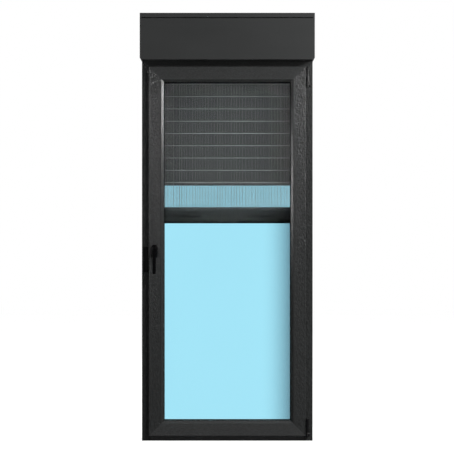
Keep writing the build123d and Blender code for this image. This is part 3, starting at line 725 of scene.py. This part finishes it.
def handle_lever(material):
    """The lever with its egg-shaped head, rounded all over, and the neck behind it."""
    low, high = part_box("handle_lever")
    middle = (low[X] + high[X]) / 2
    half = (high[X] - low[X]) / 2
    thick = LEVER_THICKNESS / 2
    depth = low[Y] + thick
    corners, faces, rings = [], [], []
    for share, wide, deep in LEVER_PROFILE:
        z = low[Z] + share * (high[Z] - low[Z])
        ring = []
        for x, y in circle(LEVER_RING):
            x = math.copysign(abs(x) ** LEVER_ROUNDNESS, x)
            y = math.copysign(abs(y) ** LEVER_ROUNDNESS, y)
            ring.append((middle + half * wide * x, depth + thick * deep * y, z))
        rings.append(ring)
    add_skin(corners, faces, rings)
    axis = low[Z] + NECK_RISE
    rings = []
    neck = [(high[Y] - back, radius) for back, radius in NECK_PROFILE]
    for y, radius in (*neck, (depth, NECK_TIP)):
        ring = [(middle + radius * x, y, axis + radius * z) for x, z in circle(LEVER_RING)]
        rings.append(ring)
    add_skin(corners, faces, rings)
    lever = mesh_object("lever_rounded", corners, faces, material, "handle")
    for face in lever.data.polygons:
        face.use_smooth = True
    soften = lever.modifiers.new("round", "SUBSURF")
    soften.levels = soften.render_levels = LEVER_SMOOTHING
    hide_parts("handle_lever")


def add_screw(corners, faces, place, out, radius):
    """Adds a screw head at a place on a face, given the direction that leads out of the face."""
    out = Vector(out)
    side = out.orthogonal().normalized()
    other = out.cross(side)
    rings = []
    for shares, height in HEAD_PROFILE:
        centre = Vector(place) + out * (HEAD_HEIGHT * height)
        ring = []
        for i, (x, y) in enumerate(circle(HEAD_RING)):
            reach = radius * shares[i % 2]
            ring.append(tuple(centre + (side * (reach * x) + other * (reach * y))))
        rings.append(ring)
    add_skin(corners, faces, rings)


def screws(name, places, out, material, body, radius=HEAD_RADIUS):
    """One piece for a group of screw heads on one body."""
    corners, faces = [], []
    for place in places:
        add_screw(corners, faces, place, out, radius)
    mesh_object(name, corners, faces, material, body)


def add_fixings(steel, black):
    """Screws in the keeps, the faceplates and the hinge leaves."""
    low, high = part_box("lock_keeps")
    middle = (low[Y] + high[Y]) / 2
    places = [(high[X], middle, top - drop) for top in KEEP_TOPS for drop in KEEP_SCREWS]
    screws("keep_screws", places, (1, 0, 0), steel, "frame", KEEP_HEAD_RADIUS)
    low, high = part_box("espagnolette")
    middle = (low[Y] + high[Y]) / 2
    first = low[Z] + PLATE_END
    step = (high[Z] - PLATE_TOP_GAP - PLATE_END - first) / (PLATE_SCREWS - 1)
    places = [(low[X] + CAM_REACH, middle, first + step * i) for i in range(PLATE_SCREWS)]
    screws("faceplate_screws", places, (-1, 0, 0), steel, "sash")
    places = [(x, middle, high[Z]) for x in TOP_SCREW_X]
    screws("top_plate_screws", places, (0, 0, 1), steel, "sash")
    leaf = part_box("stay_bearing")[1][Y] - LEAF_THICKNESS
    places = [(x, leaf, z) for x, z in UPPER_LEAF_SCREWS + LOWER_LEAF_SCREWS]
    screws("leaf_screws", places, (0, -1, 0), black, "frame", LEAF_HEAD_RADIUS)


set_camera()
light_the_stage()
lay_floor()

across = foil("pvc_anthracite", X, ANTHRACITE)
# Painted shade and light: darker copies of the foil on stiles, jambs and upright beads, a lighter
# copy on sill and bottom rail
shaded_stile_foil = foil("pvc_anthracite_upright", Z, UPRIGHT_SHADED_GREY, specular=0.06, **COARSE_GRAIN)
shaded_jamb_foil = foil("frame_anthracite_upright", Z, JAMB_SHADED_GREY, specular=0.016, **COARSE_GRAIN)
lit_low_foil = foil("pvc_anthracite_low", X, LOW_LIT_GREY)
bead_across = foil("bead_across", X, ANTHRACITE, specular=0.08, smooth=0.22, grain_depth=0.0004)
shaded_bead_upright = foil("shaded_bead_upright", Z, BEAD_SHADED_DARK, specular=0.07, smooth=0.16, grain_depth=0.0006)
box_satin = satin("box_satin", BOX_GREY)
zinc = plated_steel("zinc_steel")
black_hinge = moulded("dark_hinge", HINGE_BLACK, rough=0.25, specular=0.04)
handle_black = moulded("handle_black", COVER_BLACK, rough=0.2, specular=0.02)
stay_steel = capped_steel("stay_steel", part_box("sash_top_rail")[1][Y])
leaf_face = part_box("stay_bearing")[1][Y] - HINGE_LEAF_DEPTH
leaf_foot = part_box("stay_bearing")[0][Z] + HINGE_LEAF_FOOT
slats = slat_lacquer("slat_paint")
thread = mesh_thread("screen_fabric")
bar_low, bar_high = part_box("screen_bar")
bar_coat = screen_bar_coat("screen_bar_paint", bar_low[Z] + BRUSH_HEIGHT, bar_high[Z] - BAR_BEAD)
# Painted shade on the panes towards their right edge
pane_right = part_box("glass_inner")[1][X]
painted_shade_start, painted_shade_end = pane_right * PANE_SHADE_START, pane_right * PANE_SHADE_END
pane = tinted_glass("glass_tint", painted_shade_start, painted_shade_end, bar_low[Z], bar_high[Z])

dress(across, "frame_head", "sash_top_rail")
dress(lit_low_foil, "frame_sill", "sash_bottom_rail")
dress(shaded_stile_foil, "sash_stile_left", "sash_stile_right")
dress(shaded_jamb_foil, "frame_jamb_left", "frame_jamb_right")
dress(bead_across, "bead_top", "bead_bottom")
dress(shaded_bead_upright, "bead_left", "bead_right")
dress(box_satin, "box_cover", "box_top", "box_back", "box_bottom", "box_end_left", "box_end_right")
dress(rubber("seal_rubber"), "frame_seal", "sash_seal")
dress(rubber("gasket_rubber"), "gasket_room", "gasket_outside")
dress(moulded("black_plastic", BLACK, rough=0.4, specular=0.02), "strike_plate")
dress(moulded("grip_plastic", GRIP_BLACK, rough=0.5, specular=0.01), "screen_grips")
dress(zinc, "lock_keeps", "espagnolette", "stay_shoe")
dress(burnished("burnished_steel"), "corner_pivot")
dress(stay_steel, "stay_arm")
dress(black_hinge, "corner_bearing", "sash_band")
dress(hinge_finish("hinge_and_leaf", leaf_face, leaf_foot), "stay_bearing")
dress(galvanised("galvanised"), "shutter_axle")
dress(slats, "shutter_roll", "shutter_curtain", "shutter_end_slat")
dress(powder_coat("guide_paint", GUIDE_GREY), "guide_left", "guide_right")
dress(bar_coat, "screen_bar")
dress(thread, "screen_mesh", "screen_roller")
dress(pane, "glass_outer", "glass_inner")
dress(satin("spacer_metal", SPACER_GREY, rough=0.35), "glass_spacer")
dress(handle_black, "handle_rosette", "handle_lever")

handle_lever(handle_black)
add_fixings(zinc, black_hinge)
insect_screen(thread)

bpy.context.scene.view_settings.view_transform = "Standard"
